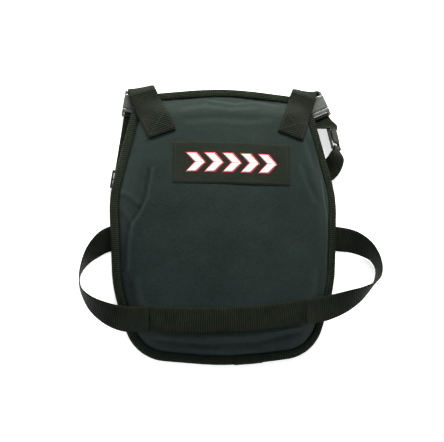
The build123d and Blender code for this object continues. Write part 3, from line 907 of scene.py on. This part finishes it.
def tab(name, side, bar_at, matrix, node):
    """Doubled tab sewn on the face, over the rim and down to the buckle's bar."""
    across_dir = matrix.to_3x3() @ Vector((0, 1, 0))
    if across_dir.x < 0:
        across_dir = -across_dir
    low, top = np.array([side * 97.0, 134.0]), np.array([side * 125.0, 204.0])
    rows = []
    n = 11
    for k in range(30):
        q = k / 29
        centre = low + (top - low) * q
        row = []
        for j in range(n):
            skew = side * (0.32 - 0.07 * q)
            offset = 40.0 * (j / (n - 1) - 0.5)
            x, y = centre[0] + offset, centre[1] - offset * skew
            d = float(inset(np.array([x]), np.array([y]))[0])
            t = float(cover_t(np.array([x]), np.array([y]), False)[0])
            t = max(t, 9.6 if d < 12 else 0)
            row.append((x, y, float(height(x, y, t + 1.9))))
        rows.append(row)
    rows = np.array(rows)
    for _ in range(10):
        eased = rows[..., 2].copy()
        eased[1:-1] = (rows[:-2, :, 2] + 2 * rows[1:-1, :, 2] + rows[2:, :, 2]) / 4
        eased[:, 1:-1] = (eased[:, :-2] + 2 * eased[:, 1:-1] + eased[:, 2:]) / 4
        rows[..., 2] = np.maximum(eased, rows[..., 2] - 0.03)
    rows = list(rows)
    edge = np.array(rows[-1])
    drop = [(1, 212.0, 25.5, 0.25), (1, bar_at[1] + 4.6, 17.5, 0.75), (1, bar_at[1] + 1.6, 11.9, 1.0)]
    path = [edge]
    for _, y, z, q in drop:
        centre = np.array([side * 126.0 * (1 - q) + bar_at[0] * q, y, z])
        flat = np.array([across_dir.x, across_dir.y, 0.0])
        lean = np.array([1.0, -side * 0.33, -side * 0.20])
        w = lean * (1 - q) + flat * q
        w /= np.linalg.norm(w)
        path.append(np.array([centre + w * (40.0 * (1 - q) + WEB * q) * (j / (n - 1) - 0.5) for j in range(n)]))
    keys = np.array([rows[-3], rows[-2]] + path)
    flatten = keys.reshape(len(keys), -1)
    smooth_path = spline(flatten, 26).reshape(26, n, 3)
    rows = np.array(rows[:-3] + list(smooth_path))
    obj = thick_sheet(name, rows, TAB_T)
    finish_piece(obj, "webbing", "pad", (node,))
    ring = thick_sheet(name + "_eye", eye_rows(matrix, SOCKET_BAR, -1), WEB_T)
    finish_piece(ring, "webbing")
    # box and cross stitching on the sewn end
    def on_tab(a, b):
        i = b * 13.0
        j = (0.5 + a * 0.42) * (n - 1)
        i0, j0 = int(i), min(int(j), n - 2)
        fi, fj = i - i0, j - j0
        p = (rows[i0][j0] * (1 - fj) + rows[i0][j0 + 1] * fj) * (1 - fi)
        p = p + (rows[i0 + 1][j0] * (1 - fj) + rows[i0 + 1][j0 + 1] * fj) * fi
        return p + np.array([0, 0, TAB_T / 2 + 0.12])
    corners = [(-1, 0.12), (1, 0.12), (1, 0.98), (-1, 0.98)]
    lines = [(corners[i], corners[(i + 1) % 4]) for i in range(4)]
    lines += [(corners[0], corners[2]), (corners[1], corners[3])]
    paths = []
    for (a0, b0), (a1, b1) in lines:
        paths.append([on_tab(a0 + (a1 - a0) * k / 16, b0 + (b1 - b0) * k / 16) for k in range(17)])
    finish_piece(stitches(name + "_stitches", paths, 2.9, 2.6, 0.55), "thread")


tab("tab_left_web", -1, LEFT_BAR, LEFT, "left_tab")
tab("tab_right_web", 1, RIGHT_BAR, RIGHT, "right_tab")

# ------------------------------------------------------------------ straps and lock loops
LOCK_BAR = 12.0
LOCK_END = 15.0
LEG = 2.1 + WEB_T / 2
left_lock_at = LEFT @ Vector((137.0 + SOCKET_BAR, 0, 0))
left_x = LEFT.to_3x3() @ Vector((-1, 0, 0))
LEFT_LOCK = local_frame((left_lock_at.x, left_lock_at.y, 4.2), left_x, (0, 0, 1))
yaw, roll = radians(12), radians(60)
RIGHT_LOCK = local_frame((174, 136, 22.5), (-sin(yaw), cos(yaw), 0),
                         (cos(yaw) * sin(roll), sin(yaw) * sin(roll), cos(roll)))


def at(matrix, x, y, z):
    return tuple(matrix @ Vector((x, y, z)))


def across_of(matrix, sign=1):
    return tuple((matrix.to_3x3() @ Vector((0, sign, 0))))


def strap_piece(name, stations, count, body=None, blend=None, nodes=()):
    obj = thick_sheet(name, ribbon_rows(stations, count), WEB_T)
    obj.data.materials.append(MAT["webbing"])
    if nodes:
        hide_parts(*nodes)
    if blend:
        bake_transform(obj)
    else:
        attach(obj, body)
    return obj


def turn_rows(matrix, sign, free_end, across=11):
    """Webbing round the middle bar of a lock, from the end of one leg to the end of the other."""
    path = [(LOCK_END - k * LOCK_END / 6, LEG) for k in range(7)]
    path += [(-LEG * sin(pi * k / 12), LEG * cos(pi * k / 12)) for k in range(1, 12)]
    path += [(k * (LOCK_END + free_end) / 6, -LEG) for k in range(7)]
    rows = []
    for x, z in path:
        rows.append([at(matrix, x, sign * WEB * (j / (across - 1) - 0.5), z) for j in range(across)])
    return np.array(rows)


def lock_turn(side, lock, free_end):
    """The strap's turn in a lock, and its eye on the plug."""
    turn = thick_sheet("strap_%s_turn" % side, turn_rows(lock, 1, free_end), WEB_T)
    finish_piece(turn, "webbing", side + "_lock", (side + "_strap",))
    matrix = LEFT if side == "left" else RIGHT
    ring = thick_sheet("strap_%s_eye" % side, eye_rows(matrix, PLUG_BAR, 1), WEB_T)
    finish_piece(ring, "webbing", side + "_plug")


def strap_span(side, stations):
    """Free run from the plug to the lock, in two pieces, each spanning one joint, both baked in place."""
    rows = ribbon_rows(stations, 41)
    low_end = tuple(float(c) * MM for c in rows[-4].mean(0))
    mid = tuple(float(c) * MM for c in rows[20].mean(0))
    high_end = tuple(float(c) * MM for c in rows[3].mean(0))
    for name, part, ends, across in (("low", rows[20:], (low_end, mid), ("pad", side + "_socket")),
                                     ("high", rows[:21], (mid, high_end), (side + "_socket", side + "_plug"))):
        obj = thick_sheet("strap_%s_span_%s" % (side, name), part, WEB_T)
        obj.data.materials.append(MAT["webbing"])
        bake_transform(obj)


# left strap
ly = across_of(LEFT)
lock_turn("left", LEFT_LOCK, 0.0)
left_span = [
    (at(LEFT, PLUG_BAR + 3.2, 0, 0), ly, WEB), (at(LEFT, PLUG_BAR + 20, 0, -0.6), ly, WEB),
    (at(LEFT, PLUG_BAR + 48, 0, -1.6), ly, WEB), (at(LEFT, 92.0, 0, -0.8), ly, WEB),
    (at(LEFT_LOCK, LOCK_END, 0, LEG), ly, WEB),
]
strap_span("left", left_span)
left_tail = [
    (at(LEFT_LOCK, LOCK_END, 0, -LEG), ly, WEB), (at(LEFT_LOCK, LOCK_END + 12, 0, -3.3), ly, WEB),
    (at(LEFT_LOCK, LOCK_END + 50, 0, -3.3), ly, WEB), (at(LEFT_LOCK, LOCK_END + 105, 0, -3.3), ly, WEB),
]
strap_piece("strap_left_tail", left_tail, 40, body="pad")

# right strap
lock_turn("right", RIGHT_LOCK, 4.0)
ry = across_of(RIGHT)
lock_down = across_of(RIGHT_LOCK, -1)
right_span = [
    (at(RIGHT, PLUG_BAR + 3.2, 0, 0), ry, WEB), (at(RIGHT, PLUG_BAR + 10, 1, 0.8), ry, WEB),
    ((166.5, 160.5, 12.4), (0.93, 0.26, -0.30), WEB - 3),
    (at(RIGHT_LOCK, LOCK_END + 2, 0, LEG), lock_down, WEB), (at(RIGHT_LOCK, LOCK_END - 1, 0, LEG), lock_down, WEB),
]
strap_span("right", right_span)


def lock_loop(side, lock, sign, middle, sewn_at, sewn_to):
    sx, sy = sewn_at
    tx, ty = sewn_to
    heading = np.array([tx - sx, ty - sy], float)
    heading /= np.linalg.norm(heading)
    flat = np.array([-heading[1], heading[0]])
    start = across_of(lock, sign)
    if flat[0] * start[0] + flat[1] * start[1] < 0:
        flat = -flat
    stations = [(at(lock, -LOCK_BAR - 3.2, 0, 0), start, WEB)] + middle

    def on_back(x, y):
        slope = float(height(x + flat[0], y + flat[1], 0) - height(x - flat[0], y - flat[1], 0)) / 2
        return ((x, y, float(height(x, y, -1.3))), (flat[0], flat[1], slope), WEB)

    stations += [on_back(sx, sy), on_back((sx + tx) / 2, (sy + ty) / 2), on_back(tx, ty)]
    obj = thick_sheet("lock_loop_" + side, ribbon_rows(stations, 40), WEB_T)
    finish_piece(obj, "webbing", "pad", (side + "_lock_loop",))
    ring = thick_sheet("lock_loop_%s_eye" % side, eye_rows(lock, -LOCK_BAR, -1), WEB_T)
    finish_piece(ring, "webbing")


lock_loop("left", LEFT_LOCK, -1 if across_of(LEFT_LOCK)[0] < 0 else 1,
          [((-148, 43, 8.5), (0.98, -0.10, 0.12), WEB)], (-139, 28), (-135, 6))
lock_loop("right", RIGHT_LOCK, -1,
          [((178, 109, 13.5), (0.93, -0.10, -0.44), WEB - 5), ((169.5, 95.5, 7.6), (0.90, -0.40, -0.14), WEB - 3),
           ((157, 86, 9), (0.82, -0.56, -0.17), WEB)], (139, 78), (126, 62))

# ------------------------------------------------------------------ moulded hardware keeps its CAD shape
for name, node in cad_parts.items():
    if node.hide_render:
        continue
    node.data.materials.clear()
    node.data.materials.append(MAT["lock" if "lock" in name else "buckle"])
    bevel = node.modifiers.new("soft_edges", "BEVEL")
    bevel.width = 0.0005
    bevel.segments = 2
    bevel.limit_method = "ANGLE"
    bevel.angle_limit = radians(40)

# ------------------------------------------------------------------ floor, light and camera
bpy.ops.mesh.primitive_plane_add(size=120, location=(0, 0, -0.0002))
ground = bpy.context.object
ground.name = "floor"
floor_look = Nodes("floor_paper")
floor_look.set(Base_Color=(0.95, 0.95, 0.96, 1), Roughness=0.9, Emission_Color=(1, 1, 1, 1), Emission_Strength=0.65)
ground.data.materials.append(floor_look.material)

world = bpy.data.worlds.new("studio")
bpy.context.scene.world = world
world.use_nodes = True
world.node_tree.nodes["Background"].inputs[0].default_value = (0.90, 0.96, 1.0, 1)
world.node_tree.nodes["Background"].inputs[1].default_value = 0.38


def area_light(name, where, size, power, aim=(0, 0, 0)):
    light = bpy.data.lights.new(name, "AREA")
    light.shape = "RECTANGLE"
    light.size, light.size_y = size
    light.energy = power
    obj = bpy.data.objects.new(name, light)
    bpy.context.collection.objects.link(obj)
    obj.location = where
    obj.rotation_euler = (Vector(aim) - Vector(where)).to_track_quat("-Z", "Y").to_euler()
    return obj


area_light("key", (0.10, 1.5, 0.90), (1.3, 0.6), 70).data.color = (1.0, 1.0, 0.84)
area_light("fill", (-1.5, 0.1, 0.8), (0.9, 0.9), 6)
area_light("front", (0.5, -1.4, 1.4), (1.2, 0.8), 4)

camera_data = bpy.data.cameras.new("camera")
camera = bpy.data.objects.new("camera", camera_data)
bpy.context.collection.objects.link(camera)
bpy.context.scene.camera = camera
camera_data.sensor_width = 36
camera_data.lens = 79.0
lean_x, lean_y, roll_z = radians(8), radians(8), radians(-0.9)
distance = 1.49
back = Vector((-sin(lean_x), -sin(lean_y), 1.0))
back.z = sqrt(1 - back.x ** 2 - back.y ** 2)
target = Vector((-0.0025, 0.0110, 0.008))
camera.location = target + back * distance
side = Vector((-sin(roll_z), cos(roll_z), 0)).cross(back).normalized()
camera.rotation_euler = Matrix((side, back.cross(side), back)).transposed().to_euler()
bpy.context.scene.view_settings.view_transform = "Standard"
